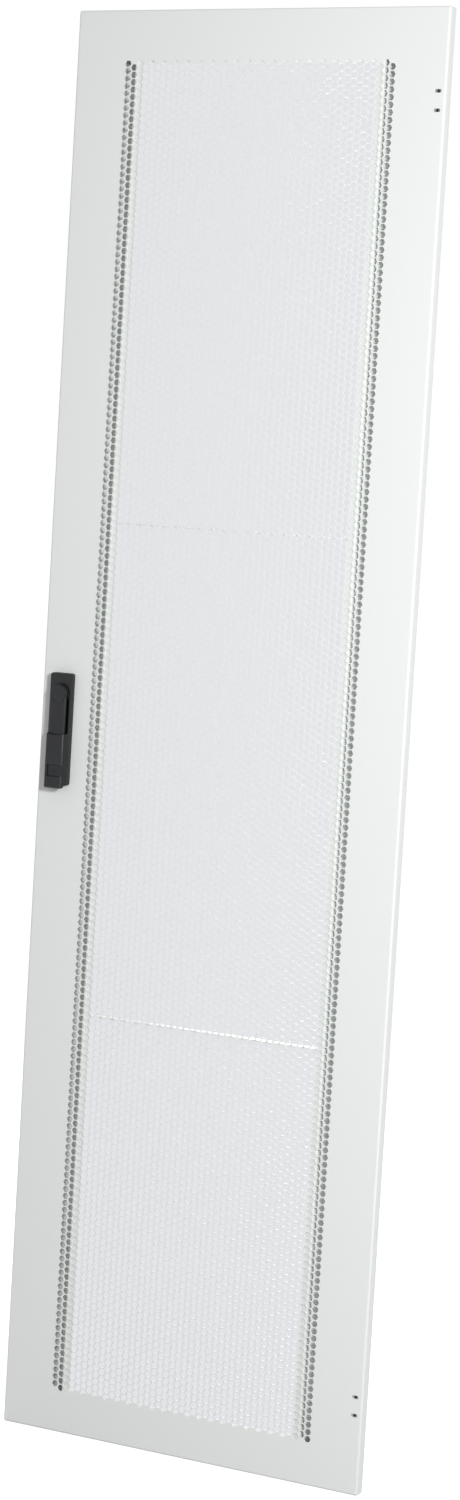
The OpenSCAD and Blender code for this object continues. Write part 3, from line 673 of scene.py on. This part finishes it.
# %% The threaded earth stud
def thread_mesh(name, middle, radius, reach, pitch, depth):
    """A threaded rod along Y. reach is its first and last Y, depth that of the thread."""
    turns = 32
    steps = 16
    ways = [2 * math.pi * i / turns for i in range(turns)]
    count = int((reach[1] - reach[0]) / pitch * steps)
    made = bmesh.new()
    rows = []
    for k in range(count + 1):
        y = reach[0] + (reach[1] - reach[0]) * k / count
        run_out = min(1, 4 * (count - k) / steps, 4 * k / steps)
        row = []
        for i, way in enumerate(ways):
            phase = ((y - reach[0]) / pitch - i / turns) % 1
            cut = depth * (1 - abs(2 * phase - 1))
            r = radius - cut if run_out == 1 else radius - depth * 0.6
            row.append(made.verts.new((middle.x + r * math.cos(way), y, middle.z + r * math.sin(way))))
        rows.append(row)
    for here, after in zip(rows, rows[1:]):
        for i in range(turns):
            j = (i + 1) % turns
            made.faces.new((here[i], after[i], after[j], here[j]))
    made.faces.new(rows[0])
    made.faces.new(rows[-1][::-1])
    bmesh.ops.recalc_face_normals(made, faces=made.faces)
    mesh = bpy.data.meshes.new(name)
    made.to_mesh(mesh)
    made.free()
    return mesh


stud_lo, stud_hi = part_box("earth_stud")
stud_middle = (stud_lo + stud_hi) / 2
stud_radius = 3 * MM
foot_end = stud_lo.y + 1 * MM
stud = place("earth_stud_thread", thread_mesh(
    "earth_stud_thread", stud_middle, stud_radius, (foot_end - 0.1 * MM, stud_hi.y), 1 * MM, 0.55 * MM))
smooth(stud.data, 50)
dress(stud, "door", "bright_steel")
foot_mesh = bpy.data.meshes.new("earth_stud_foot")
foot = bmesh.new()
foot_radius = (stud_hi.x - stud_lo.x) / 2
bmesh.ops.create_cone(
    foot, cap_ends=True, segments=48, radius1=foot_radius, radius2=foot_radius,
    depth=foot_end - stud_lo.y, matrix=(
        Matrix.Translation((stud_middle.x, (stud_lo.y + foot_end) / 2, stud_middle.z))
        @ Matrix.Rotation(math.radians(90), 4, "X")))
foot.to_mesh(foot_mesh)
foot.free()
stud_foot = place("earth_stud_foot", foot_mesh)
smooth(foot_mesh)
dress(stud_foot, "door", "bright_steel", "earth_stud")
print("thread faces:", len(stud.data.polygons))


# %% Marks of the spot welds
def weld_tree():
    """Lines in, a row of shallow round marks out, one every Spacing, facing +Y."""
    tree = new_tree("weld_marks", [
        ("Spacing", "Float"), ("Radius", "Float"), ("Height", "Float"), ("Material", "Material")])
    given = add(tree, "NodeGroupInput").outputs
    lines = add(tree, "GeometryNodeMeshToCurve", links=((0, given["Geometry"]),))
    points = add(tree, "GeometryNodeCurveToPoints", mode="LENGTH", links=(
        ("Curve", lines.outputs[0]), ("Length", given["Spacing"])))
    top = add(tree, MATH, given["Radius"], 0.6, operation="MULTIPLY")
    mark = add(tree, "GeometryNodeMeshCone", links=(
        ("Radius Top", top), ("Radius Bottom", given["Radius"]), ("Depth", given["Height"])), Vertices=20)
    marks = add(tree, "GeometryNodeInstanceOnPoints", links=(
        ("Points", points.outputs[0]), ("Instance", mark.outputs[0])), Rotation=(math.radians(-90), 0, 0))
    plain = add(tree, "GeometryNodeRealizeInstances", links=((0, marks.outputs[0]),))
    painted = add(tree, "GeometryNodeSetMaterial", links=(
        ("Geometry", plain.outputs[0]), ("Material", given["Material"])))
    add(tree, "NodeGroupOutput", links=((0, painted.outputs[0]),))
    return tree


weld_r = 3 * MM
weld_h = 0.3 * MM
weld_sunk = 0.1 * MM
weld_spacing = 62 * MM
weld_end = 20 * MM
lip_middle = 5 * MM
weld_lines = []
for name, along in (("stile_left", "z"), ("stile_right", "z"), ("rail_top", "x"), ("rail_bottom", "x")):
    lo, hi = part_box(name)
    weld_y = lo.y + sheet_t - weld_sunk
    if along == "z":
        weld_lines += [((x, weld_y, lo.z + weld_end), (x, weld_y, hi.z - weld_end))
                       for x in (lo.x + lip_middle, hi.x - lip_middle)]
    else:
        weld_lines += [((lo.x + weld_end, weld_y, z), (hi.x - weld_end, weld_y, z))
                       for z in (lo.z + lip_middle, hi.z - lip_middle)]
weld_mesh = bpy.data.meshes.new("weld_marks")
weld_mesh.from_pydata([p for line in weld_lines for p in line],
                      [(2 * i, 2 * i + 1) for i in range(len(weld_lines))], [])
welds = by_nodes("weld_marks", weld_mesh, weld_tree(), {
    "Spacing": weld_spacing, "Radius": weld_r, "Height": weld_h, "Material": powder_coat})
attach(welds, "door")
